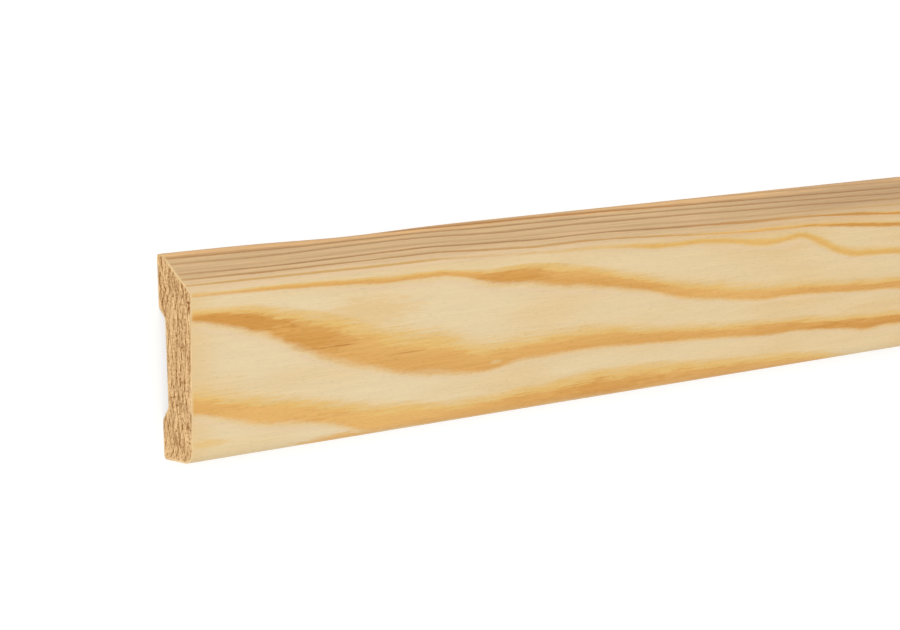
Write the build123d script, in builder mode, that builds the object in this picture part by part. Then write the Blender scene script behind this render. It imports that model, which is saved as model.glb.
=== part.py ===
"""A pine architrave: one length of planed moulding with a bevelled outer edge and a backed-out face.

The board lies on its back. X runs along its length, Y across its width towards the bevelled
edge, and Z up, out of the front face. The origin is at the middle of the back, on the floor.
"""

from build123d import *
import os

# The stock, in millimetres
length = 2200
width = 43
arris_thickness = 12.0  # where the front face meets the bevel
inner_thickness = 10.4  # at the inner edge, towards which the front face falls

# The outer edge: a bevel over most of the thickness, ending in a blunt nose
bevel_width = 7.3  # how far the bevel reaches across the width
arris_radius = 0.5
nose_thickness = 1.8
nose_radius = 0.7

# The inner edge, which sits against the door lining
inner_front_radius = 2.8
inner_back_radius = 0.8

# The relief planed out of the back, between the two lands that bear on the wall
relief_depth = 2.2
relief_radius = 1.3  # on all four of its corners
outer_land = 11.3  # width of the land behind the bevel
outer_shoulder = 2.0  # how far the sloping shoulder reaches across the width
inner_land = 8.3
inner_shoulder = 2.7

# Places across the width that these sizes give
outer_edge = width / 2
inner_edge = -width / 2
arris = outer_edge - bevel_width
outer_relief = outer_edge - outer_land
inner_relief = inner_edge + inner_land

# The corners of the section, from the inner edge round the back, the nose and the arris: (Y, Z, radius)
corners = [
    (inner_edge, 0, inner_back_radius),
    (inner_relief, 0, relief_radius),
    (inner_relief + inner_shoulder, relief_depth, relief_radius),
    (outer_relief - outer_shoulder, relief_depth, relief_radius),
    (outer_relief, 0, relief_radius),
    (outer_edge, 0, nose_radius),
    (outer_edge, nose_thickness, nose_radius),
    (arris, arris_thickness, arris_radius),
    (inner_edge, inner_thickness, inner_front_radius),
]

with BuildPart() as architrave:
    with BuildSketch(Plane.YZ.offset(-length / 2)) as section:
        with BuildLine() as outline:
            FilletPolyline(
                *[(y, z) for y, z, radius in corners],
                radius=[radius for y, z, radius in corners],
                close=True,
            )
        make_face()
    extrude(amount=length)

architrave.part.label = "architrave"
os.makedirs("parts", exist_ok=True)
export_step(architrave.part, "parts/architrave.step")
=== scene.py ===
"""The looks of a pine architrave: one planed board on its back, with both of its sawn ends.

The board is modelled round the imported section. Its growth rings are one field through the whole
of the wood, so that the face, the bevel, the back and the end grain show the same rings.
"""

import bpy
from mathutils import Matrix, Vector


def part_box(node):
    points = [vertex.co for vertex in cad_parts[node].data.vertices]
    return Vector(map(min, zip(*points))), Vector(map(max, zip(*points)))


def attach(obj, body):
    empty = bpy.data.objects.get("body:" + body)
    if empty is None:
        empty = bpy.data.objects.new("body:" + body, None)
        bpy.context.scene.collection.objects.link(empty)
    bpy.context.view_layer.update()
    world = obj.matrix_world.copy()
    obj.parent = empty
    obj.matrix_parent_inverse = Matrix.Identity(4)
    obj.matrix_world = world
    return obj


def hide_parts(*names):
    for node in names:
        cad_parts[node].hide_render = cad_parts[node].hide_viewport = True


bl_info = {
    "name": "Pine Architrave",
    "version": (1, 0, 0),
    "blender": (4, 5, 0),
    "location": "3D View > Sidebar > Architrave",
    "description": "A length of planed pine architrave with its grain and its sawn ends",
    "category": "Add Mesh",
}

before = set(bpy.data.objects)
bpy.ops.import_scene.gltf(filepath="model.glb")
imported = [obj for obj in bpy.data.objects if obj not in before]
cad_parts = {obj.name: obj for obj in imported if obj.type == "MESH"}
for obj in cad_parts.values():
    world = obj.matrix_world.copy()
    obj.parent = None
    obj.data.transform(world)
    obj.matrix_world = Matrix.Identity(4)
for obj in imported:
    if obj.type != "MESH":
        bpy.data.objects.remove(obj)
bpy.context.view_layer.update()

import math

import bmesh
import bpy
import numpy as np
from bpy.props import FloatProperty, FloatVectorProperty, IntProperty, PointerProperty
from mathutils import Euler, Vector, noise

MM = 0.001
LOW, HIGH = (Vector(corner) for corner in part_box("architrave"))
NEAR = 1e-6  # metres within which two places are the same


def tone(red, green, blue):
    """A colour picked on a screen, 0 to 255, as the linear value that a material holds."""

    def linear(level):
        level /= 255
        return level / 12.92 if level <= 0.04045 else ((level + 0.055) / 1.055) ** 2.4

    return linear(red), linear(green), linear(blue)


# Properties


def size(name, description, default):
    """A length that a user would change, its default in millimetres."""
    return FloatProperty(
        name=name, description=description, default=default * MM, unit="LENGTH", precision=5
    )


def paint(name, description, *levels):
    """A colour that a user would change, its default as picked on a screen."""
    return FloatVectorProperty(
        name=name, description=description, default=tone(*levels), subtype="COLOR", min=0.0, max=1.0
    )


class BoardSizes(bpy.types.PropertyGroup):
    """The section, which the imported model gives, and the fineness of the mesh."""

    arris_thickness: size("Arris", "Thickness at the arris", 12.0)
    inner_thickness: size("Inner edge", "Thickness at the inner edge", 10.4)
    bevel_width: size("Bevel", "How far the bevel reaches across the width", 7.3)
    nose_thickness: size("Nose", "Thickness of the blunt outer edge", 1.8)
    arris_radius: size("Arris radius", "Rounding of the arris", 0.5)
    nose_radius: size("Nose radius", "Rounding of both corners of the nose", 0.7)
    inner_front_radius: size("Inner front radius", "Rounding of the face's inner edge", 2.8)
    inner_back_radius: size("Inner back radius", "Rounding of the back's inner edge", 0.8)
    relief_depth: size("Relief", "Depth planed out of the back", 2.2)
    relief_radius: size("Relief radius", "Rounding of the relief's corners", 1.3)
    outer_land: size("Outer land", "Width of the land behind the bevel", 11.3)
    outer_shoulder: size("Outer shoulder", "Reach of the relief's outer shoulder", 2.0)
    inner_land: size("Inner land", "Width of the land at the inner edge", 8.3)
    inner_shoulder: size("Inner shoulder", "Reach of the relief's inner shoulder", 2.7)
    face_step: size("Face step", "Size of the mesh across the face", 0.5)
    sawn_step: size("Sawn step", "Size of the mesh on a sawn end", 0.32)
    rim: size("Rim", "Width of a sawn end's crisp rim", 0.65)
    sawn_relief: size("Sawn relief", "Depth of the torn end grain", 0.18)
    nose_wander: size("Nose wander", "How far the planed nose wanders inwards", 0.48)


class PineColours(bpy.types.PropertyGroup):
    """The colours of the wood."""

    cream: paint("Cream", "Earlywood on the face", 234, 211, 168)
    blush: paint("Blush", "Earlywood just past a ring's dark edge", 233, 202, 163)
    # Painted light: a lighter earlywood on the bevel just over the arris, to make up for the lower light
    # there.
    painted_arris_light: paint("Buff", "Earlywood just over the arris", 244, 212, 168)
    flush: paint("Flush", "Earlywood below the arris further along", 225, 188, 137)
    straw: paint("Straw", "Earlywood where it is warmer", 231, 200, 147)
    honey: paint("Honey", "The first latewood of a ring", 231, 187, 106)
    gold: paint("Gold", "Latewood where a ring starts to darken", 232, 181, 106)
    amber: paint("Amber", "Latewood just before the next ring", 210, 148, 68)
    tan: paint("Tan", "Earlywood on the bevel", 225, 189, 141)
    dusk: paint("Dusk", "Earlywood on the bevel further along", 210, 173, 129)
    russet: paint("Russet", "Soft upper sides of the bevel's lines", 201, 155, 104)
    # Painted highlight: a lighter, warmer peach along the bevel's edge by the nose.
    painted_nose_highlight: paint("Peach", "Earlywood on the bevel beside the nose", 238, 192, 136)
    brown: paint("Brown", "Latewood lines on the bevel", 176, 128, 80)
    copper: paint("Copper", "Lines of the bevel where they run to orange", 196, 132, 65)
    end_light: paint("End light", "Raised fibres of the end grain", 252, 211, 154)
    # End dark is the end grain's dark tone, and also painted shade in the deepest torn places.
    end_dark: paint("End dark", "Torn hollows of the end grain", 153, 100, 45)
    # The rim colour is pale fuzzy fibres along the sawn ends' edges, and partly a painted highlight.
    rim: paint("Rim", "The crisp rim of the sawn ends", 251, 220, 165)
    resin: paint("Resin", "Resin canals and dark dashes", 180, 110, 46)
    floor: paint("Floor", "The pale floor", 187.5, 187.5, 187.5)


class ArchitraveSettings(bpy.types.PropertyGroup):
    """Everything that the panel shows."""

    sizes: PointerProperty(type=BoardSizes)
    colours: PointerProperty(type=PineColours)
    arc_steps: IntProperty(name="Arc steps", description="Faces on each rounding", default=3, min=1)


# The growth rings. A line's phase is whole where one ring ends sharply and the next begins, and
# 0.35 less where that ring's latewood starts. Places are millimetres along from the sawn end and
# across from the inner edge, on the face and over the bevel.

LINE_EASE = 1.6  # millimetres over which a line's corners are eased
LEAST_GAP = 0.05  # millimetres between two lines, where they run together
MAPPED_END = 216  # millimetres along, as far as the lines are followed
BLEND_END = 300  # millimetres along, where the flowing grain has taken over

RING_LINES = (
    (-8, ((0, 45.4), (60, 44.9), (220, 43.3))),
    (-7, ((0, 44.2), (100, 43.5), (150, 43), (220, 42.1))),
    (-6.35, ((0, 43.9), (50, 43.9), (62, 43.3), (80, 43), (120, 42.7), (150, 42.15), (190, 41.6),
      (220, 41.1))),
    (-6, ((0, 43.6), (50, 43.6), (62, 42.8), (80, 42.4), (100, 42.35), (120, 42.2), (160, 41.55),
      (190, 41.2), (220, 40.7))),
    (-5.35, ((0, 42.45), (20, 42.3), (35, 42.25), (48, 42.5), (60, 42.4), (85, 41.85), (110, 41.65),
      (140, 41.3), (190, 40.5), (220, 39.85))),
    (-5, ((0, 41.95), (20, 41.75), (35, 41.75), (48, 42.05), (60, 42), (70, 41.85), (85, 41.5),
      (110, 41.35), (130, 41.15), (150, 40.85), (160, 40.6), (190, 40.15), (220, 39.5))),
    (-4, ((0, 40.85), (20, 40.6), (30, 40.65), (45, 40.9), (60, 41.05), (70, 40.85), (80, 40.45),
      (90, 40.2), (110, 40.25), (150, 39.7), (170, 39.25), (185, 39.1), (220, 38.25))),
    (-3, ((0, 39.6), (20, 39.4), (30, 39.4), (60, 39.75), (75, 39.5), (90, 39.05), (115, 38.9),
      (130, 38.65), (150, 38.15), (190, 37.65), (220, 36.85))),
    (-2.35, ((0, 39.3), (30, 39.05), (65, 39.35), (100, 38.4), (120, 38.4), (150, 37.65), (180, 37.2),
      (200, 36.7), (220, 35.55))),
    (-2, ((0, 38.95), (10, 38.8), (30, 38.75), (65, 39.05), (80, 38.6), (100, 38.1), (110, 38.25),
      (120, 38.1), (135, 37.6), (150, 37.25), (162, 36.75), (180, 36.6), (190, 36.4), (200, 35.9),
      (220, 34.65))),
    (-1.35, ((0, 38.35), (50, 38.1), (67, 38.2), (95, 37.1), (110, 37.2), (130, 36.55), (160, 35.2),
      (183, 35.1), (200, 34.2), (220, 32.95))),
    (-1, ((0, 38.05), (20, 37.8), (50, 37.9), (67, 37.9), (80, 37.25), (95, 36.7), (110, 36.85),
      (120, 36.7), (130, 36.2), (145, 35.6), (160, 34.85), (172, 34.5), (183, 34.4), (190, 34),
      (200, 33.1), (220, 31.6))),
    (-0.35, ((0, 37.2), (67, 36.85), (100, 35.9), (112, 35.85), (122, 35.35), (130, 34.8), (137, 34.5),
      (147, 34.55), (153, 34.2), (160, 33.5), (166, 32.8), (171, 32.6), (176, 32.9), (181, 33.5),
      (186, 32.2), (190, 30.8), (195, 28.3), (200, 27.1), (210, 26.6), (220, 26))),
    (0, ((0, 36.95), (50, 36.5), (67, 36.5), (75, 36.15), (85, 35.9), (100, 35.25), (112, 35.2),
      (122, 34.55), (130, 33.7), (137, 33.4), (147, 33.5), (153, 33), (166, 31.3), (171, 31), (176, 31.5),
      (181, 32.2), (186, 30.4), (190, 28.8), (195, 26.6), (200, 25.6), (210, 25.2), (220, 24.6))),
    (0.65, ((0, 35.6), (30, 35.2), (50, 34.4), (60, 34.3), (66, 34.4), (75, 33.5), (80, 33.1), (90, 33.5),
      (95, 33.5), (100, 32.9), (110, 31.1), (120, 28.8), (130, 26.6), (140, 24.5), (150, 23), (160, 21.3),
      (170, 20.4), (180, 20.4), (200, 18.9), (220, 18.4))),
    (1, ((0, 34.85), (10, 34.7), (30, 34.05), (50, 33.1), (60, 33), (66, 33.2), (70, 32.6), (75, 31.6),
      (80, 30.2), (85, 29.7), (90, 29.3), (100, 27.6), (110, 26.6), (130, 23.4), (140, 20.7), (150, 19.6),
      (160, 18.4), (170, 17.6), (180, 17.7), (190, 17.2), (200, 16.5), (210, 16.2), (220, 15.3))),
    (1.65, ((0, 32), (5, 32.1), (15, 31.6), (25, 29.9), (30, 28.6), (36, 27.6), (41, 26.1), (45, 24.3),
      (50, 22.6), (55, 21.6), (60, 20.8), (66, 20.3), (71, 18.2), (75, 16.3), (80, 15.6), (100, 16.6),
      (110, 16.6), (120, 15.7), (130, 14.6), (140, 13.8), (160, 12.4), (180, 11.7), (200, 10.3),
      (220, 9.7))),
    (2, ((0, 30), (5, 29.1), (10, 27.6), (15, 26.2), (20, 24.6), (23, 23.4), (26, 21.1), (30, 19.8),
      (35, 17.7), (40, 16.1), (50, 13.6), (60, 11.5), (67, 11), (75, 10), (80, 10.2), (85, 11.1),
      (90, 11.7), (110, 11.75), (130, 11.1), (150, 9.9), (160, 9.2), (170, 8.7), (180, 8.7), (190, 8),
      (200, 7), (206, 6.3), (213, 6.8), (220, 6.5))),
    (2.65, ((0, 14.5), (10, 12.8), (20, 11), (30, 9.7), (40, 7.6), (50, 6.1), (70, 4.3), (80, 4.5),
      (90, 5.2), (100, 5.8), (115, 6.4), (130, 6), (140, 5.1), (160, 4.1), (180, 3.2), (190, 2), (197, 0),
      (205, -2), (220, -3))),
    (3, ((0, 10.5), (5, 9.5), (10, 8), (15, 6.8), (20, 5.9), (30, 4.8), (35, 4.1), (38, 3.3), (41, 2.2),
      (44, 0.8), (47, -0.4), (130, -0.9), (180, -1.5), (220, -6))),
    (3.4, ((0, 3), (20, 0), (40, -2), (45, -3), (220, -9))),
)

# The flowing grain further along, in rings and in millimetres beyond FLOW_START. Each wave has
# its height, its length for a radian, its turn across the board and its start.

FLOW_START = 220
WAVES = ((1.1, 310, 0.0, 0.0), (0.45, 128, 0.06, 0.0), (0.16, 47, 0.11, 1.0), (0.5, 205, 0.0, 2.5708))
STRIPES, STRIPE_FALL = 2.62, 0.1  # long stripes: at the inner edge, and for each millimetre across
STRIPE_CROWD, STRIPE_BEVEL = 1.15, 0.85  # more under the arris, and for each millimetre of bevel
ARCHES, ARCH_FALL, ARCH_BEVEL = 1.9, 5.72, 0.7  # pointed arches: at their points, away, on the bevel
ARCH_POINTS = 0.42  # of the face's width, where the arches have their points
ARCHES_RISE, ARCHES_SINK = (420, 760), (1250, 1640)
CLIMB, CLIMB_STRETCH = 3.4, (500, 1500)

# Inside the wood: the pitch of the rings and how it changes along the board, and how the rings
# curl beside the inner edge, in rings a millimetre

RING_PITCH = 1.6 * MM
PITCH_CHANGE, PITCH_WAVE = 0.06, 170
CURL, CURL_START, CURL_DEPTH = 0.13, 16, 2.5 * MM


def eased(points, along):
    """A line through the points, read at each place along, with its corners eased."""
    steps, heights = zip(*points)
    offsets = (-LINE_EASE, 0.0, LINE_EASE)
    return sum(np.interp(along + offset, steps, heights) for offset in offsets) / len(offsets)


def smooth(low, high, value):
    """0 below low, 1 above high, and a smooth rise between them."""
    share = np.clip((value - low) / (high - low), 0.0, 1.0)
    return share * share * (3.0 - 2.0 * share)


def mapped_phase(along, across):
    """The ring phase on the face and bevel near the sawn end, from the ring lines."""
    phases = [phase for phase, points in RING_LINES]
    heights = [eased(points, along) for phase, points in RING_LINES]
    total = np.full_like(along, phases[0])
    for upper, lower, start, end in zip(heights, heights[1:], phases, phases[1:]):
        gap = np.maximum(upper - lower, LEAST_GAP)
        total += (end - start) * np.clip((upper - across) / gap, 0.0, 1.0)
    return total


def flowing_phase(along, across, face_width):
    """The ring phase further along: long waves, with one stretch of nested pointed arches."""
    beyond = along - FLOW_START
    share = across / face_width
    on_bevel = np.maximum(across - face_width, 0.0)
    crowd = STRIPE_CROWD * np.minimum(share, 1.0) ** 4
    stripes = STRIPES - STRIPE_FALL * across - crowd - STRIPE_BEVEL * on_bevel
    arches = ARCHES - ARCH_FALL * (share - ARCH_POINTS) ** 2 - ARCH_BEVEL * on_bevel
    pointed = smooth(*ARCHES_RISE, beyond) * (1.0 - smooth(*ARCHES_SINK, beyond))
    phase = stripes * (1.0 - pointed) + arches * pointed + CLIMB * smooth(*CLIMB_STRETCH, beyond)
    for height, length, turn, start in WAVES:
        phase += height * (np.sin(beyond / length + turn * across + start) - math.sin(start))
    return phase


def skin_height(across, sizes):
    """How high the face or the bevel lies, at distances across from the inner edge."""
    arris = HIGH.y - LOW.y - sizes.bevel_width
    slope = (sizes.arris_thickness - sizes.inner_thickness) / arris
    fall = (sizes.arris_thickness - sizes.nose_thickness) / sizes.bevel_width
    radius = sizes.inner_front_radius
    into_corner = np.clip(radius - across, 0.0, radius)
    rounding = radius - np.sqrt(radius**2 - into_corner**2)
    return np.where(
        across < arris,
        sizes.inner_thickness + slope * across - rounding,
        sizes.arris_thickness - fall * (across - arris),
    )


def ring_phase(places, sizes):
    """The ring phase at places in the wood: the skin's phase, less the rings met on the way in."""
    along = (places[:, 0] - LOW.x) / MM
    across = (places[:, 1] - LOW.y) / MM
    face_width = (HIGH.y - LOW.y - sizes.bevel_width) / MM
    depth = skin_height(across * MM, sizes) - places[:, 2]
    near = mapped_phase(along, across)
    far = flowing_phase(along, across, face_width)
    share = smooth(MAPPED_END, BLEND_END, along)
    pitch = RING_PITCH * (1.0 + PITCH_CHANGE * np.sin(along / PITCH_WAVE))
    curl = CURL * np.maximum(CURL_START - across, 0.0) * smooth(0.0, CURL_DEPTH, depth)
    return near * (1.0 - share) + far * share - depth / pitch + curl


# Node helpers


class Tree:
    """Short calls that place and join the nodes of one node tree."""

    def __init__(self, tree):
        self.tree = tree

    def add(self, kind, inputs=None, **settings):
        """A node with its settings, each input set to a value or linked to an output."""
        made = self.tree.nodes.new(kind)
        for name, value in settings.items():
            setattr(made, name, value)
        for name, value in (inputs or {}).items():
            self.feed(made.inputs[name], value)
        return made

    def feed(self, socket, value):
        """Link an output to the socket, or set the socket to a number, a vector or a colour."""
        if isinstance(value, bpy.types.NodeSocket):
            self.tree.links.new(value, socket)
        elif socket.type == "RGBA" and len(value) == 3:
            socket.default_value = (*value, 1.0)
        else:
            socket.default_value = value

    def place(self):
        """The place on the object, in metres."""
        return self.add("ShaderNodeTexCoord").outputs["Object"]

    def attribute(self, name):
        """A number that the points of the mesh hold."""
        return self.add("ShaderNodeAttribute", attribute_name=name).outputs["Fac"]

    def math(self, operation, *values, clamp=False):
        """The result of a sum on numbers, kept from 0 to 1 if clamp is set."""
        made = self.add("ShaderNodeMath", dict(enumerate(values)), operation=operation, use_clamp=clamp)
        return made.outputs[0]

    def plus(self, first, *others):
        for other in others:
            first = self.math("ADD", first, other)
        return first

    def minus(self, first, second):
        return self.math("SUBTRACT", first, second)

    def times(self, first, *others):
        for other in others:
            first = self.math("MULTIPLY", first, other)
        return first

    def ramp(self, value, low, high, start=0.0, end=1.0):
        """A smooth change from start to end as the value goes from low to high."""
        made = self.add(
            "ShaderNodeMapRange",
            {"Value": value, "From Min": low, "From Max": high, "To Min": start, "To Max": end},
            interpolation_type="SMOOTHSTEP",
        )
        return made.outputs["Result"]

    def mix(self, share, first, second, blend="MIX"):
        """The first colour, with a share of the second."""
        made = self.add("ShaderNodeMix", {0: share, 6: first, 7: second}, data_type="RGBA",
                        blend_type=blend)
        return made.outputs[2]

    def noise(self, grain, detail=2.0, roughness=0.5, turn=(0.0, 0.0, 0.0)):
        """Noise whose grains have the given size in millimetres along, across and through."""
        scale = tuple(step * MM for step in grain)
        stretch = self.add("ShaderNodeMapping", {"Vector": self.place(), "Rotation": turn, "Scale": scale},
                           vector_type="TEXTURE")
        made = self.add(
            "ShaderNodeTexNoise",
            {"Vector": stretch.outputs[0], "Scale": 1.0, "Detail": detail, "Roughness": roughness},
        )
        return made.outputs[0]

    def vector(self, operation, first, second=(0.0, 0.0, 0.0)):
        """The result of a sum on two vectors."""
        made = self.add("ShaderNodeVectorMath", {0: first, 1: second}, operation=operation)
        return made.outputs["Value" if operation == "LENGTH" else "Vector"]


def group(name, inputs, outputs):
    """A new node group as a Tree, with its input sockets by their defaults, and its outputs."""
    made = bpy.data.node_groups.new(name, "ShaderNodeTree")
    for label, value in inputs.items():
        kind = "NodeSocketVector" if isinstance(value, tuple) else "NodeSocketFloat"
        socket = made.interface.new_socket(label, in_out="INPUT", socket_type=kind)
        socket.default_value = value
    for label in outputs:
        made.interface.new_socket(label, in_out="OUTPUT", socket_type="NodeSocketFloat")
    tree = Tree(made)
    return tree, tree.add("NodeGroupInput").outputs, tree.add("NodeGroupOutput").inputs


def use(tree, name, **inputs):
    """A copy of a group in a material, with its values."""
    made = tree.add("ShaderNodeGroup", inputs, node_tree=bpy.data.node_groups[name])
    return made.outputs


# Streaks that the even grain doesn't have: each one's place along from the sawn end and across from
# the inner edge, its reach and width, in millimetres, and how much it adds

STREAK_DEPTH = 9 * MM  # how far into the wood they go

# Latewood of the face that is deeper, or paler where the amount is below nought
DEEP_PLACES = (
    (7, 29.7, 20, 1.6, 0.8), (30, 23.4, 15, 5.0, 0.5), (87, 31.0, 17, 2.4, 0.55),
    (16, 27.8, 14, 2.4, 0.6), (212, 25.6, 18, 1.6, 0.5), (150, 2.5, 20, 2.2, 0.25),
    (112, 2.5, 28, 3.0, 0.6), (25, 8.5, 30, 4.0, -0.4), (205, 8.0, 28, 2.4, 0.55),
    (206, 33.0, 34, 2.6, 1.0), (204, 36.0, 34, 2.0, 1.0), (50, 4.0, 24, 3.4, -0.55),
    (166, 20.2, 36, 2.8, -0.25), (180, 9.6, 26, 2.2, 0.3), (100, 2.4, 12, 2.4, -0.35),
)

# Latewood of the face that all but fades out, and earlywood of the face that is warmer
FAINT_PLACES = ((4, 35.1, 15, 1.6, 0.3), (80, 36.0, 24, 1.6, 0.6), (106, 35.4, 27, 1.5, 0.55))
WARM_PLACES = (
    (47, 27, 17, 4.5, 0.9), (8, 16, 10, 3, 0.4), (212, 12, 20, 2, 0.4), (174, 30.2, 13, 1.9, 0.9),
)

# The inner edge of the face where it turns gold
GOLD_PLACES = ((38, 0.6, 15, 1.8, 0.9),)

# Lines of the bevel that run to orange, lines that stay firm beside the sawn end, and places where
# the painted highlight along the nose is stronger, or weaker
ORANGE_PLACES = (
    (112, 42.4, 62, 1.1, 1.0), (160, 37.0, 28, 1.1, 0.9), (205, 36.0, 34, 1.3, 0.9),
    (112, 36.9, 34, 1.0, 0.9),
)
FIRM_PLACES = ((12, 42.0, 34, 0.45, 0.5),)
NOSE_HIGHLIGHT_PLACES = ((102, 42.0, 24, 0.7, -0.8), (50, 41.5, 20, 0.5, 0.5), (206, 42.4, 34, 0.9, -0.6))

# A stain, two dark dashes and a pale fleck on the face, each with its colour
SMALL_MARKS = (
    ("honey", 4, 4, 7, 1.2, 0.5), ("resin", 36.5, 20.75, 7, 0.24, 0.62),
    ("resin", 57, 17.2, 7.5, 0.24, 0.4), ("straw", 82, 12.2, 2.6, 0.5, 0.6),
)

# How strong each ring's latewood is, by the whole phase at which the ring ends, and in the rings
# before and after those
RING_STRENGTHS = (
    (-7, 0.45), (-6, 1.0), (-5, 0.8), (-4, 0.75), (-3, 0.4), (-2, 1.0), (-1, 0.95), (0, 0.74), (1, 0.95),
    (2, 1.0), (3, 0.85),
)
STRENGTH_BEFORE = 0.7
STRENGTH_AFTER = 0.85

LATE_START = 0.62  # the part of a ring at which its latewood sets in
RING_LEAN = math.radians(9)  # on the sawn ends, from the face's outer edge to the back's inner edge
END_TURN = (-RING_LEAN, 0.0, 0.0)
WOOD_SHINE = 0.2  # specular level of dry, unvarnished pine


def grey(level):
    """A level as the colour of a stop."""
    return level, level, level, 1.0


def ring_strength(tree, ring):
    """A ring's own strength, as listed near the sawn end, less a little by chance."""
    first, last = RING_STRENGTHS[0][0], RING_STRENGTHS[-1][0]
    span = last - first + 2
    table = tree.add("ShaderNodeValToRGB", {0: tree.math("DIVIDE", tree.minus(ring, first - 2), span)})
    stops = table.color_ramp
    stops.interpolation = "CONSTANT"
    stops.elements[0].color = grey(STRENGTH_BEFORE)
    stops.elements[1].position = (span - 0.5) / span
    stops.elements[1].color = grey(STRENGTH_AFTER)
    for end, level in RING_STRENGTHS:
        stop = stops.elements.new((end - first + 0.5) / span)
        stop.color = grey(level)
    chance = tree.add("ShaderNodeTexWhiteNoise", {"W": ring}, noise_dimensions="1D").outputs["Value"]
    return tree.times(table.outputs[0], tree.ramp(chance, 0.0, 1.0, 0.92, 1.0))


def growth_rings_group():
    """Masks of a ring's latewood and dark line, with its strength and age, from the ring phase."""
    tree, given, out = group(
        "Growth Rings",
        {"Phase": 0.0, "Feather": 0.3, "Edge": 0.06, "Start": LATE_START, "Softness": 0.1},
        ("Late", "Line", "Strength", "Age"),
    )
    past_edge = tree.times(given["Edge"], -0.35)
    wobble = tree.ramp(tree.noise((9.0, 2.5, 2.5), detail=1.5), 0.2, 0.8, -0.018, 0.018)
    rough = tree.ramp(tree.noise((1.4, 0.45, 0.45), detail=2.0), 0.25, 0.75, -0.011, 0.011)
    phase = tree.plus(given["Phase"], past_edge, wobble, rough)
    ring = tree.math("FLOOR", phase)
    part = tree.minus(phase, ring)
    streaks = tree.minus(tree.noise((8.0, 0.5, 0.5), detail=3.0), 0.5)
    freedom = tree.ramp(part, 0.9, 0.62)
    feathered = tree.plus(part, tree.times(streaks, given["Feather"], freedom))
    edge = tree.ramp(part, 1.0, tree.minus(1.0, given["Edge"]))
    late = tree.ramp(feathered, tree.minus(given["Start"], given["Softness"]),
                     tree.math("MULTIPLY_ADD", given["Softness"], 0.8, given["Start"]))
    line = tree.ramp(feathered, tree.plus(given["Start"], 0.04), 0.93)
    tree.feed(out["Late"], tree.times(late, edge))
    tree.feed(out["Line"], tree.times(line, edge))
    tree.feed(out["Strength"], ring_strength(tree, ring))
    tree.feed(out["Age"], part)


def fibres_group():
    """Long fibres, soft patches, short resin canals and flecks of the planed faces."""
    tree, given, out = group("Pine Fibres", {}, ("Fibre", "Patch", "Canal", "Fleck"))
    fine = tree.noise((7.0, 0.22, 0.22), detail=3.0, roughness=0.6)
    broad = tree.noise((26.0, 1.1, 1.1), detail=2.0)
    dashes = tree.noise((3.4, 0.2, 0.2), detail=0.5)
    flecks = tree.noise((1.5, 0.3, 0.3), detail=1.5, roughness=0.6)
    tree.feed(out["Fibre"], tree.plus(tree.times(fine, 0.6), tree.times(broad, 0.4)))
    tree.feed(out["Patch"], tree.noise((38.0, 9.0, 9.0), detail=1.5))
    tree.feed(out["Canal"], tree.ramp(dashes, 0.76, 0.84))
    tree.feed(out["Fleck"], tree.ramp(flecks, 0.5, 0.74))


def streak_group():
    """A mask round one short streak that lies along the board."""
    tree, given, out = group("Streak", {"Centre": (0.0, 0.0, 0.0), "Reach": (1.0, 1.0, 1.0)}, ("Mask",))
    offset = tree.vector("SUBTRACT", tree.place(), given["Centre"])
    length = tree.vector("LENGTH", tree.vector("DIVIDE", offset, given["Reach"]))
    waves = tree.times(tree.minus(tree.noise((4.0, 0.5, 0.5)), 0.5), 1.2)
    tree.feed(out["Mask"], tree.ramp(tree.plus(length, waves), 1.0, 0.35))


def finish_material(name):
    """A material with an empty tree but for its output and a Principled shader."""
    made = bpy.data.materials.new(name)
    made.use_nodes = True
    tree = Tree(made.node_tree)
    made.node_tree.nodes.clear()
    output = tree.add("ShaderNodeOutputMaterial")
    shader = tree.add("ShaderNodeBsdfPrincipled")
    tree.feed(output.inputs["Surface"], shader.outputs[0])
    shader.inputs["Specular IOR Level"].default_value = WOOD_SHINE
    return made, tree, shader


def feed_finish(tree, shader, wood, roughness, height, strength, depth):
    """Feed the shader its colour, its roughness and a bump."""
    tree.feed(shader.inputs["Base Color"], wood)
    tree.feed(shader.inputs["Roughness"], roughness)
    bump = tree.add("ShaderNodeBump", {"Height": height, "Strength": strength, "Distance": depth})
    tree.feed(shader.inputs["Normal"], bump.outputs[0])


def streak(tree, along, across, reach, width, sizes):
    """The mask of one streak on the face or bevel, its place and size in millimetres."""
    centre = (LOW.x + along * MM, LOW.y + across * MM, float(skin_height(across * MM, sizes)))
    return use(tree, "Streak", Centre=centre, Reach=(reach * MM, width * MM, STREAK_DEPTH))["Mask"]


def streaked(tree, start, places, sizes):
    """The start value with streaks at the places added, kept from 0 to 1."""
    for *place, amount in places:
        start = tree.plus(start, tree.times(streak(tree, *place, sizes), amount))
    return tree.math("ADD", start, 0.0, clamp=True)


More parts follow.
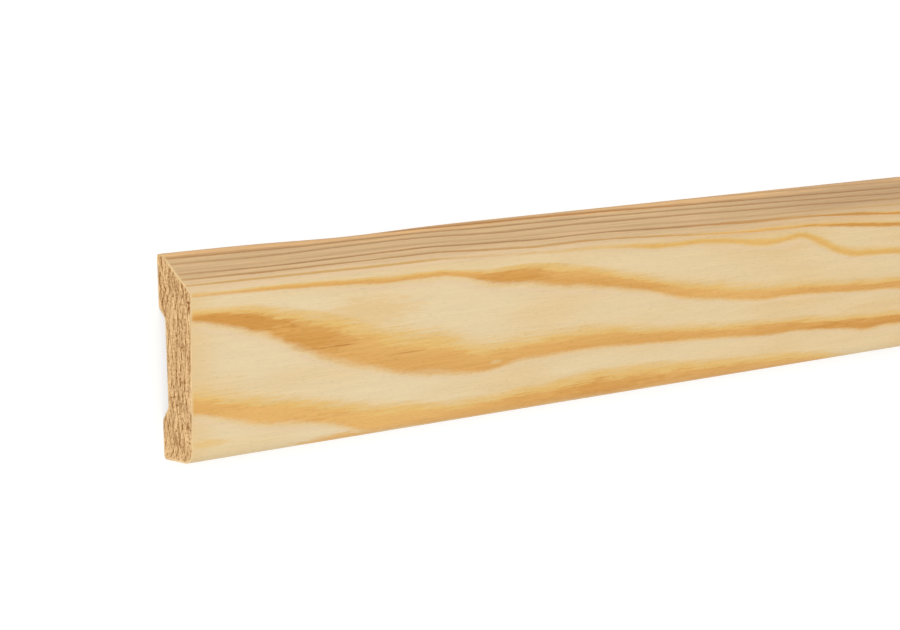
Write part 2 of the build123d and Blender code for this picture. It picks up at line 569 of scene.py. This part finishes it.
def face_wood(tree, rings, grain, along, past_arris, sizes, colours):
    """The face: cream that warms as a ring ages, then honey, gold and amber latewood."""
    warm = tree.math("MAXIMUM", tree.ramp(grain["Patch"], 0.4, 0.7, 0.0, 0.6),
                     tree.ramp(rings["Age"], 0.4, 0.64, 0.0, 0.6))
    warm = tree.math("MAXIMUM", warm, tree.ramp(along, 9 * MM, 0.0, 0.0, 0.9))
    warm = tree.plus(warm, tree.ramp(along, 40 * MM, 190 * MM, 0.0, 0.45))
    early = tree.mix(streaked(tree, warm, WARM_PLACES, sizes), colours.cream, colours.straw)
    blush = tree.times(tree.ramp(rings["Age"], 0.1, 0.0, 0.0, 0.7), rings["Strength"])
    early = tree.mix(blush, early, colours.blush)
    flush = tree.times(tree.ramp(past_arris, -2.8 * MM, -0.7 * MM, 0.0, 0.9),
                       tree.ramp(along, 95 * MM, 160 * MM))
    early = tree.mix(flush, early, colours.flush)
    # Painted light: just over the arris, most near the sawn end, the earlywood is made lighter to make up
    # for the lower light on the bevel there.
    painted_arris_light = tree.times(tree.ramp(past_arris, -0.1 * MM, 0.4 * MM),
                      tree.ramp(along, 150 * MM, 70 * MM, 0.35, 1.0))
    early = tree.mix(painted_arris_light, early, colours.painted_arris_light)

    base = tree.plus(tree.times(rings["Line"], 0.28), 0.12)
    slow = tree.ramp(tree.noise((60.0, 5.0, 5.0), detail=1.0), 0.4, 0.7, 0.0, 0.25)
    streaky = tree.ramp(tree.noise((15.0, 0.55, 0.55), detail=2.0), 0.3, 0.7, -0.12, 0.12)
    deep = streaked(tree, tree.plus(base, slow, streaky), DEEP_PLACES, sizes)
    ripe = tree.mix(tree.times(deep, rings["Strength"]), colours.gold, colours.amber)
    ripeness = tree.times(tree.ramp(rings["Line"], 0.0, 0.15),
                          tree.ramp(rings["Strength"], 0.55, 0.85))
    late = tree.mix(ripeness, colours.honey, ripe)

    firm = tree.minus(1.0, streaked(tree, 0.0, FAINT_PLACES, sizes))
    share = tree.times(rings["Late"], tree.ramp(rings["Strength"], 0.0, 0.7, 0.3, 1.0), firm)
    wood = tree.mix(share, early, late)
    return tree.mix(streaked(tree, 0.0, GOLD_PLACES, sizes), wood, colours.gold)


def bevel_wood(tree, phase, along, past_arris, sizes, colours):
    """The bevel, which cuts the rings steeply: fine brown lines, each with a soft russet side."""
    rings = use(tree, "Growth Rings", Phase=phase, Feather=0.15, Edge=0.3, Start=0.54)
    late = tree.times(rings["Late"], rings["Strength"])
    firm = streaked(tree, tree.ramp(along, 2 * MM, 34 * MM, 0.5, 1.0), FIRM_PLACES, sizes)
    line = tree.times(rings["Line"], rings["Strength"], firm)
    nose = sizes.bevel_width
    # Painted highlight: the bevel's last strip by the nose turns a lighter peach.
    by_nose = tree.ramp(past_arris, nose - 1.5 * MM, nose - 0.7 * MM)
    by_nose = streaked(tree, by_nose, NOSE_HIGHLIGHT_PLACES, sizes)
    early = tree.mix(tree.ramp(along, 150 * MM, 208 * MM), colours.tan, colours.dusk)
    early = tree.mix(by_nose, early, colours.painted_nose_highlight)
    soft = tree.mix(tree.ramp(late, 0.0, 0.9, 0.0, 0.8), early, colours.russet)
    orange = streaked(tree, 0.0, ORANGE_PLACES, sizes)
    dark = tree.mix(orange, colours.brown, colours.copper)
    return tree.mix(tree.ramp(line, 0.0, 0.6), soft, dark)


def marks(tree, wood, late, grain, sizes, colours):
    """The wood with its resin canals and the small marks near the sawn end."""
    canal = tree.times(grain["Canal"], tree.ramp(late, 0.2, 0.9, 0.12, 0.5))
    wood = tree.mix(canal, wood, colours.resin)
    for colour, *place, amount in SMALL_MARKS:
        mark = tree.times(streak(tree, *place, sizes), amount)
        wood = tree.mix(mark, wood, getattr(colours, colour))
    return wood


def planed_pine(sizes, colours):
    """The planed faces: cream and amber rings, browner where the bevel cuts them steeply."""
    made, tree, shader = finish_material("planed_pine")
    phase = tree.attribute("ring_phase")
    rings = use(tree, "Growth Rings", Phase=phase, Feather=0.27, Edge=0.12, Softness=0.14)
    grain = use(tree, "Pine Fibres")
    late = tree.times(rings["Late"], rings["Strength"])
    place = tree.add("ShaderNodeSeparateXYZ", {0: tree.place()}).outputs
    along = tree.minus(place["X"], LOW.x)
    past_arris = tree.minus(place["Y"], HIGH.y - sizes.bevel_width)

    # How far past the arris the face's colours have wholly given way to the bevel's
    changed = tree.math(
        "MAXIMUM",
        tree.ramp(along, 70 * MM, 125 * MM, 3.4 * MM, 2.2 * MM),
        tree.ramp(along, 160 * MM, 195 * MM, 2.2 * MM, 3.4 * MM),
    )
    on_bevel = tree.ramp(past_arris, -0.2 * MM, changed)
    wood = tree.mix(on_bevel, face_wood(tree, rings, grain, along, past_arris, sizes, colours),
                    bevel_wood(tree, phase, along, past_arris, sizes, colours))

    fibre = tree.ramp(grain["Fibre"], 0.3, 0.7, 0.964, 1.034)
    fleck = tree.ramp(grain["Fleck"], 0.0, 1.0, 1.0, tree.ramp(late, 0.0, 1.0, 0.942, 0.91))
    streaks = tree.ramp(tree.noise((24.0, 0.3, 0.3), detail=2.0), 0.3, 0.7, -0.09, 0.07)
    level = tree.times(fibre, fleck, tree.plus(tree.times(streaks, on_bevel), 1.0))
    shade = tree.add("ShaderNodeCombineColor", {0: level, 1: level, 2: level}).outputs[0]
    wood = tree.mix(1.0, wood, shade, "MULTIPLY")
    wood = marks(tree, wood, late, grain, sizes, colours)
    from_middle = tree.math("ABSOLUTE", place["X"])
    fuzz = tree.ramp(from_middle, HIGH.x - 0.7 * MM, HIGH.x, 0.0, 0.5)
    wood = tree.mix(fuzz, wood, colours.straw)

    roughness = tree.plus(tree.ramp(late, 0.0, 1.0, 0.56, 0.47), tree.times(grain["Fibre"], 0.08))
    height = tree.plus(tree.times(grain["Fibre"], 0.5), tree.times(late, 0.35))
    feed_finish(tree, shader, wood, roughness, height, 0.35, 0.06 * MM)
    return made


def sawn_end(colours):
    """The sawn end grain: pale strands that follow the rings, with torn hollows between them, which carry
    painted shade where they sink deepest.
    """
    made, tree, shader = finish_material("sawn_end_grain")
    rings = use(tree, "Growth Rings", Phase=tree.attribute("ring_phase"), Feather=0.0, Edge=0.3)
    patches = tree.noise((4.0, 3.5, 1.2), detail=1.0, turn=END_TURN)
    strands = tree.noise((3.0, 6.0, 0.42), detail=2.0, roughness=0.6, turn=END_TURN)
    mottle = tree.noise((1.5, 0.52, 0.46), detail=3.0, roughness=0.75, turn=END_TURN)
    pits = tree.noise((1.0, 0.9, 0.5), detail=0.5, turn=END_TURN)
    hollow = tree.plus(
        tree.times(rings["Late"], tree.ramp(patches, 0.36, 0.6, 0.1, 0.54)),
        # Painted shade: darker where the saw tore deepest, in the sunk places.
        tree.ramp(tree.attribute("torn"), 0.2, 0.8, 0.0, 0.16),
        tree.ramp(strands, 0.4, 0.68, 0.0, 0.5),
        tree.ramp(mottle, 0.38, 0.7, -0.12, 0.44),
        tree.ramp(pits, 0.64, 0.74, 0.0, 0.5),
    )
    hollow = tree.math("ADD", hollow, 0.0, clamp=True)
    wood = tree.mix(hollow, colours.end_light, colours.end_dark)
    height = tree.add("ShaderNodeSeparateXYZ", {0: tree.place()}).outputs["Z"]
    # The pale rim is fuzzy fibres and partly a painted highlight, strongest towards the face and fainter
    # towards the back.
    rim = tree.times(tree.ramp(tree.attribute("rim"), 0.0, 0.75),
                     tree.ramp(height, 2.3 * MM, 4.0 * MM, 0.3, 0.9))
    wood = tree.mix(rim, wood, colours.rim)
    roughness = tree.ramp(hollow, 0.0, 1.0, 0.72, 0.85)
    feed_finish(tree, shader, wood, roughness, tree.minus(1.0, hollow), 0.3, 0.12 * MM)
    return made


# Modelling helpers

BACK_COARSENESS = 3.6  # how much wider the mesh's strips are on the back and the edges
EXTRA_ARC_STEPS = 2  # more faces on the broad rounding of the face's inner edge

# The mesh along the board, in millimetres: where each stretch ends, and the size of its steps
STRETCHES = ((100, 1.0), (200, 1.0), (300, 2.0), (700, 5.0), (1100, 5.0), (1650, 7.0), (2200, 7.0))
MOST_CUTS = 100

# The map, in shares of its square: the rows' height, the margins, and the strip for the sawn ends
ROW, MARGIN = 0.465, 0.008
END_STRIP, END_HEIGHT = 0.955, 0.04

# How the saw tore the end grain: each noise's grain across and up in millimetres, where it is
# read, and its share of the depth
TEARS = ((3.6, 0.9, 7.0, 0.6), (0.8, 0.5, 19.0, 0.4))

# The planed nose, in millimetres along: its dip's middle and reach, and where slow waves set in
NOSE_DIP, NOSE_DIP_REACH = 48, 18
NOSE_WAVES = (180, 320)


def select(board, kind, wanted):
    """In edit mode, select just the faces or edges for which wanted holds."""
    bpy.ops.mesh.select_all(action="DESELECT")
    bpy.ops.mesh.select_mode(type=kind)
    mesh = bmesh.from_edit_mesh(board.data)
    for part in mesh.faces if kind == "FACE" else mesh.edges:
        if wanted(part):
            part.select_set(True)
    bmesh.update_edit_mesh(board.data)


def middle(edge):
    return (edge.verts[0].co + edge.verts[1].co) / 2


def cut(board, wanted, place, across, **settings):
    """Bisect the wanted faces with the plane at the place."""
    select(board, "FACE", wanted)
    bpy.ops.mesh.bisect(plane_co=place, plane_no=across, threshold=1e-7, **settings)


def is_side(face):
    return abs(face.normal.x) < 0.5


def is_end(face):
    return abs(face.normal.x) > 0.5


def is_underneath(face):
    return face.normal.z < -0.9


def lengthwise(edge):
    way = edge.verts[1].co - edge.verts[0].co
    return abs(way.x) > 0.9 * way.length


def section_corners(sizes):
    """The corners of the section from the inner edge round the back and nose: Y, Z and radius."""
    outer_relief = HIGH.y - sizes.outer_land
    inner_relief = LOW.y + sizes.inner_land
    return [
        Vector((LOW.y, 0.0, sizes.inner_back_radius)),
        Vector((inner_relief, 0.0, sizes.relief_radius)),
        Vector((inner_relief + sizes.inner_shoulder, sizes.relief_depth, sizes.relief_radius)),
        Vector((outer_relief - sizes.outer_shoulder, sizes.relief_depth, sizes.relief_radius)),
        Vector((outer_relief, 0.0, sizes.relief_radius)),
        Vector((HIGH.y, 0.0, sizes.nose_radius)),
        Vector((HIGH.y, sizes.nose_thickness, sizes.nose_radius)),
        Vector((HIGH.y - sizes.bevel_width, sizes.arris_thickness, sizes.arris_radius)),
        Vector((LOW.y, sizes.inner_thickness, sizes.inner_front_radius)),
    ]


def round_corner(board, before, corner, after, steps):
    """Bevel the long edge at a corner of the section to its radius."""
    place = corner.xy
    half = (before.xy - place).angle(after.xy - place) / 2
    select(board, "EDGE", lambda edge: lengthwise(edge)
           and (Vector(middle(edge).yz) - place).length < NEAR)
    bpy.ops.mesh.bevel(offset=corner.z / math.tan(half), offset_type="OFFSET", segments=steps,
                       profile=0.5, affect="EDGES", clamp_overlap=False)


def shape_section(board, sizes, arc_steps):
    """Plane the slopes of the front, back out the relief and round the corners."""
    corners = section_corners(sizes)
    nose, arris, inner = corners[6], corners[7], corners[8]
    for low, high in ((inner, arris), (arris, nose)):
        run = high.xy - low.xy
        cut(board, lambda face: True, (0.0, low.x, low.y), (0.0, -run.y, run.x), use_fill=True,
            clear_outer=True)
    for corner in corners[1:5]:
        cut(board, is_underneath, (0.0, corner.x, 0.0), (0.0, 1.0, 0.0))
    select(board, "FACE", lambda face: is_underneath(face)
           and corners[2].x < face.calc_center_median().y < corners[3].x)
    bpy.ops.transform.translate(value=(0.0, 0.0, sizes.relief_depth))
    round_about = zip(corners[-1:] + corners[:-1], corners, corners[1:] + corners[:1])
    for before, corner, after in round_about:
        steps = arc_steps + (corner is inner) * EXTRA_ARC_STEPS
        round_corner(board, before, corner, after, steps)


def grid_the_sides(board, sizes):
    """Cut the flats of the section lengthwise, so that the grain can follow them."""
    flats = []
    select(board, "FACE", lambda face: False)
    for face in bmesh.from_edit_mesh(board.data).faces:
        if is_side(face):
            ends = {(round(vert.co.y, 7), round(vert.co.z, 7)) for vert in face.verts}
            start, end = (Vector(point) for point in sorted(ends))
            step = sizes.face_step * (1.0 if face.normal.z > 0.2 else BACK_COARSENESS)
            flats.append((start, end, face.normal.copy(), int((end - start).length / step)))
    for start, end, normal, count in flats:
        way = (end - start).normalized()
        for number in range(1, count + 1):
            place = start.lerp(end, number / (count + 1))
            cut(board, lambda face: is_side(face) and face.normal.dot(normal) > 0.9999,
                (0.0, *place), (0.0, *way))


def grid_the_ends(board, sizes):
    """Leave each sawn end a crisp rim, and cut what is inside it into a fine grid."""
    select(board, "FACE", is_end)
    bpy.ops.mesh.inset(thickness=sizes.rim, depth=0.0)
    for face in bmesh.from_edit_mesh(board.data).faces:
        if face.select:
            face.material_index = 1
    bmesh.update_edit_mesh(board.data)
    for low, high, way in ((LOW.y, HIGH.y, (0.0, 1.0, 0.0)), (0.0, HIGH.z, (0.0, 0.0, 1.0))):
        count = int((high - low) / sizes.sawn_step)
        for number in range(1, count):
            place = low + (high - low) * number / count
            cut(board, lambda face: face.material_index == 1,
                tuple(step * place for step in way), way)


def grid_the_length(board):
    """Cut the board across, finely near the end that is looked at most."""
    stops = [LOW.x] + [LOW.x + reach * MM for reach, step in STRETCHES]
    for stop in stops[1:-1]:
        cut(board, is_side, (stop, 0.0, 0.0), (1.0, 0.0, 0.0))
    for start, end, (reach, step) in zip(stops, stops[1:], STRETCHES):
        select(board, "EDGE", lambda edge: lengthwise(edge) and start < middle(edge).x < end
               and edge.calc_length() > 0.9 * (end - start))
        count = round((end - start) / (step * MM)) - 1
        bpy.ops.mesh.subdivide(number_cuts=min(MOST_CUTS, count))


def outline_lengths(mesh, sizes):
    """How far round the section each of its points lies, from a seam in the middle of the relief."""
    points = [vertex.co for vertex in mesh.vertices]
    joined = {}
    for edge in mesh.edges:
        first, second = (points[index] for index in edge.vertices)
        if abs(first.x) < NEAR and abs(second.x) < NEAR:
            ends = [(round(point.y, 6), round(point.z, 6)) for point in (first, second)]
            joined.setdefault(ends[0], []).append(ends[1])
            joined.setdefault(ends[1], []).append(ends[0])
    seam = min(joined, key=lambda point: abs(point[0]) + 4 * abs(point[1] - sizes.relief_depth))
    lengths = {seam: 0.0}
    here, ahead = seam, joined[seam][0]
    total = 0.0
    while ahead != seam:
        total += math.dist(here, ahead)
        lengths[ahead] = total
        here, ahead = ahead, next(point for point in joined[ahead] if point != here)
    return lengths, total + math.dist(here, seam)


def lay_out_map(mesh, sizes):
    """A map of the skin in two rows, each half the length, with both sawn ends above them."""
    lengths, around = outline_lengths(mesh, sizes)
    layer = mesh.uv_layers.new(name="OFBake")
    for face in mesh.polygons:
        places = [mesh.vertices[index].co for index in face.vertices]
        if is_end(face):
            left = MARGIN if face.center.x < 0 else 0.5 + MARGIN
            spots = [(left + (0.5 - 2 * MARGIN) * (place.y - LOW.y) / (HIGH.y - LOW.y),
                      END_STRIP + END_HEIGHT * place.z / HIGH.z) for place in places]
        else:
            heights = [lengths[round(place.y, 6), round(place.z, 6)] for place in places]
            if max(heights) - min(heights) > around / 2:
                heights = [height + around * (height < around / 2) for height in heights]
            half = face.center.x > 0
            spots = [(MARGIN + (1 - 2 * MARGIN) * (place.x / HIGH.x + (not half)),
                      MARGIN + half * (ROW + MARGIN) + (ROW - MARGIN) * height / around)
                     for place, height in zip(places, heights)]
        for index, spot in zip(face.loop_indices, spots):
            layer.data[index].uv = spot


def record_grain(mesh, sizes):
    """Write the ring phase and the rims of the sawn ends on the points of the mesh."""
    places = np.empty(len(mesh.vertices) * 3, dtype=np.float32)
    mesh.vertices.foreach_get("co", places)
    places = places.reshape(-1, 3).astype(float)
    phase = mesh.attributes.new("ring_phase", "FLOAT", "POINT")
    phase.data.foreach_set("value", ring_phase(places, sizes).astype(np.float32))
    rim = np.zeros(len(places), dtype=np.float32)
    for face in mesh.polygons:
        if is_side(face):
            for index in face.vertices:
                rim[index] = 1.0
    mesh.attributes.new("rim", "FLOAT", "POINT").data.foreach_set("value", rim)
    return places, rim


def weigh(board, name, weights):
    """A vertex group with the weights that aren't nought."""
    made = board.vertex_groups.new(name=name)
    for index in np.nonzero(weights > 0.001)[0]:
        made.add([int(index)], float(weights[index]), "REPLACE")
    return name


def displace(board, weights_name, direction, distance):
    """Move the board's skin by its weights, and apply the modifier."""
    made = board.modifiers.new(weights_name, "DISPLACE")
    made.vertex_group = weights_name
    made.direction = direction
    made.strength = distance
    made.mid_level = 0.0
    bpy.ops.object.modifier_apply(modifier=made.name)


def tear_the_ends(board, places, rim, sizes):
    """Weigh how deep the saw tore each place of the ends, keep that for the finish's painted shade and
    sink it.
    """
    softness = 1.0 - np.abs(ring_phase(places, sizes) % 1.0 - 0.4)
    depths = np.zeros(len(places), dtype=np.float32)
    ends = {"near_sawn": (LOW.x, 1.0), "far_sawn": (HIGH.x, -1.0)}
    for end, inwards in ends.values():
        for index in np.nonzero(np.abs(places[:, 0] - end) < NEAR)[0]:
            y, z = places[index, 1:] / MM
            z -= y * math.tan(RING_LEAN)
            depth = 0.2 + 0.25 * softness[index]
            for wide, high, read_at, share in TEARS:
                depth += share * noise.noise(Vector((y / wide, z / high, inwards * read_at)))
            depths[index] = np.clip(depth, 0.0, 1.0) * (1.0 - 0.75 * rim[index])
    board.data.attributes.new("torn", "FLOAT", "POINT").data.foreach_set("value", depths)
    for name, (end, inwards) in ends.items():
        weights = np.where(np.abs(places[:, 0] - end) < NEAR, depths, 0.0)
        displace(board, weigh(board, name, weights), "X", inwards * sizes.sawn_relief)


def wander_the_nose(board, places, sizes):
    """Let the thin nose wander inwards, as a planed edge does."""
    along = (places[:, 0] - LOW.x) / MM
    near_nose = smooth(HIGH.y - 2.6 * MM, HIGH.y - 0.2 * MM, places[:, 1])
    dip = np.exp(-(((along - NOSE_DIP) / NOSE_DIP_REACH) ** 2))
    waves = 0.5 + 0.5 * np.sin(along / 61 + 0.4) * np.sin(along / 23)
    wander = np.maximum(dip, 0.45 * waves * smooth(*NOSE_WAVES, along))
    displace(board, weigh(board, "nose_wander", near_nose * wander), "Y", -sizes.nose_wander)


# Operators

SMOOTH_ANGLE = math.radians(32)

# Each lamp's place, what it points at, its length and width, all in metres, and its watts
LAMPS = {
    "long_lamp": ((0.0, 0.66, 1.07), (0.0, 0.0, 0.0), (4.0, 0.9), 10.5),
    "low_lamp": ((0.0, -1.1, 0.4), (0.0, 0.0, 0.0), (4.0, 0.5), 6.4),
    "near_lamp": ((-1.95, 0.05, 0.3), (-1.1, 0.0, 0.0), (0.6, 0.6), 3.15),
    "far_lamp": ((1.95, 0.05, 0.3), (1.1, 0.0, 0.0), (0.6, 0.6), 3.15),
}
SOFT_LIGHT = 0.73  # that the world gives
WHITE = 1.0  # that the world shows
FLOOR_GLOW = 0.65  # that the floor shows, and doesn't give
FLOOR_SIZE = 14.0
FLOOR_DROP = 0.1 * MM  # below the board

# The camera, at the angle at which the sawn end and the face are seen together
CAMERA_PLACE = (-1.40404, 0.08036, 0.46110)
CAMERA_TURN = [math.radians(angle) for angle in (-6.487, -39.811, -1.702)]
CAMERA_LENS = 107.12


class ARCHITRAVE_OT_board(bpy.types.Operator):
    """Model the board from a block, with its section, sawn ends and grain"""

    bl_idname = "architrave.board"
    bl_label = "Pine Board"
    bl_options = {"REGISTER", "UNDO"}

    def execute(self, context):
        settings = context.scene.architrave
        sizes = settings.sizes
        bpy.ops.object.select_all(action="DESELECT")
        block = (HIGH.x - LOW.x, HIGH.y - LOW.y, sizes.arris_thickness)
        bpy.ops.mesh.primitive_cube_add(size=1.0, location=(0.0, 0.0, block[2] / 2), scale=block)
        board = context.object
        board.name = board.data.name = "pine_board"
        bpy.ops.object.transform_apply(location=True, rotation=True, scale=True)
        board.data.materials.append(planed_pine(sizes, settings.colours))
        board.data.materials.append(sawn_end(settings.colours))
        bpy.ops.object.mode_set(mode="EDIT")
        shape_section(board, sizes, settings.arc_steps)
        grid_the_sides(board, sizes)
        grid_the_ends(board, sizes)
        grid_the_length(board)
        select(board, "FACE", is_end)
        board.active_material_index = 1
        bpy.ops.object.material_slot_assign()
        if not all(edge.is_manifold for edge in bmesh.from_edit_mesh(board.data).edges):
            raise RuntimeError("The board didn't come out closed")
        bpy.ops.object.mode_set(mode="OBJECT")
        lay_out_map(board.data, sizes)
        places, rim = record_grain(board.data, sizes)
        tear_the_ends(board, places, rim, sizes)
        wander_the_nose(board, places, sizes)
        bpy.ops.object.shade_smooth_by_angle(angle=SMOOTH_ANGLE)
        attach(board, "root")
        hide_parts("architrave")
        return {"FINISHED"}


class ARCHITRAVE_OT_stage(bpy.types.Operator):
    """Set out the pale floor, the soft lamps and the camera"""

    bl_idname = "architrave.stage"
    bl_label = "Floor, Lamps and Camera"
    bl_options = {"REGISTER", "UNDO"}

    def execute(self, context):
        scene = context.scene
        scene.view_settings.view_transform = "Standard"
        self.lay_floor(scene.architrave.colours)
        self.light_world(scene)
        for name, facts in LAMPS.items():
            self.hang_lamp(name, *facts)
        self.place_camera(scene)
        return {"FINISHED"}

    def lay_floor(self, colours):
        bpy.ops.object.select_all(action="DESELECT")
        bpy.ops.mesh.primitive_plane_add(size=FLOOR_SIZE, location=(0.0, 0.0, -FLOOR_DROP))
        floor = bpy.context.object
        floor.name = "floor"
        bpy.ops.object.transform_apply(location=True, rotation=False, scale=False)
        made = bpy.data.materials.new("pale_floor")
        made.use_nodes = True
        made.node_tree.nodes.clear()
        tree = Tree(made.node_tree)
        diffuse = tree.add("ShaderNodeBsdfDiffuse", {"Color": colours.floor})
        glow = tree.add("ShaderNodeEmission", {"Strength": self.seen(tree, 0.0, FLOOR_GLOW)})
        both = tree.add("ShaderNodeAddShader", {0: diffuse.outputs[0], 1: glow.outputs[0]})
        tree.feed(tree.add("ShaderNodeOutputMaterial").inputs["Surface"], both.outputs[0])
        floor.data.materials.append(made)

    def seen(self, tree, lighting, showing):
        """A strength that differs where the camera, a reflection or a clear piece shows it."""
        rays = tree.add("ShaderNodeLightPath").outputs
        shows = tree.math("MAXIMUM", rays["Is Camera Ray"], rays["Is Glossy Ray"])
        shows = tree.math("MAXIMUM", shows, rays["Is Transmission Ray"])
        return tree.ramp(shows, 0.0, 1.0, lighting, showing)

    def light_world(self, scene):
        world = bpy.data.worlds.new("soft_white")
        scene.world = world
        world.use_nodes = True
        world.node_tree.nodes.clear()
        tree = Tree(world.node_tree)
        sky = tree.add("ShaderNodeBackground", {"Strength": self.seen(tree, SOFT_LIGHT, WHITE)})
        tree.feed(tree.add("ShaderNodeOutputWorld").inputs["Surface"], sky.outputs[0])

    def hang_lamp(self, name, place, target, size, power):
        bpy.ops.object.light_add(type="AREA", location=place)
        lamp = bpy.context.object
        lamp.name = name
        lamp.data.shape = "RECTANGLE"
        lamp.data.size, lamp.data.size_y = size
        lamp.data.energy = power
        lamp.rotation_euler = (Vector(target) - Vector(place)).to_track_quat("-Z", "Y").to_euler()

    def place_camera(self, scene):
        bpy.ops.object.camera_add(location=CAMERA_PLACE, rotation=Euler(CAMERA_TURN))
        camera = bpy.context.object
        camera.data.sensor_fit = "HORIZONTAL"
        camera.data.sensor_width = 36.0
        camera.data.lens = CAMERA_LENS
        camera.data.clip_start = 0.01
        scene.camera = camera


class ARCHITRAVE_PT_panel(bpy.types.Panel):
    """The sizes, the colours and the steps in their order"""

    bl_label = "Pine Architrave"
    bl_idname = "ARCHITRAVE_PT_panel"
    bl_space_type = "VIEW_3D"
    bl_region_type = "UI"
    bl_category = "Architrave"

    def draw(self, context):
        settings = context.scene.architrave
        for part in (settings.sizes, settings.colours):
            column = self.layout.column()
            for name in part.bl_rna.properties.keys():
                if name not in {"rna_type", "name"}:
                    column.prop(part, name)
        self.layout.prop(settings, "arc_steps")
        for step in STEPS:
            self.layout.operator(step.bl_idname)


STEPS = (ARCHITRAVE_OT_board, ARCHITRAVE_OT_stage)
CLASSES = (BoardSizes, PineColours, ArchitraveSettings, *STEPS, ARCHITRAVE_PT_panel)


def register():
    for kind in CLASSES:
        bpy.utils.register_class(kind)
    bpy.types.Scene.architrave = PointerProperty(type=ArchitraveSettings)


def unregister():
    del bpy.types.Scene.architrave
    for kind in reversed(CLASSES):
        bpy.utils.unregister_class(kind)


def main():
    register()
    for make_group in (growth_rings_group, fibres_group, streak_group):
        make_group()
    bpy.ops.architrave.board()
    bpy.ops.architrave.stage()


if __name__ == "__main__":
    main()
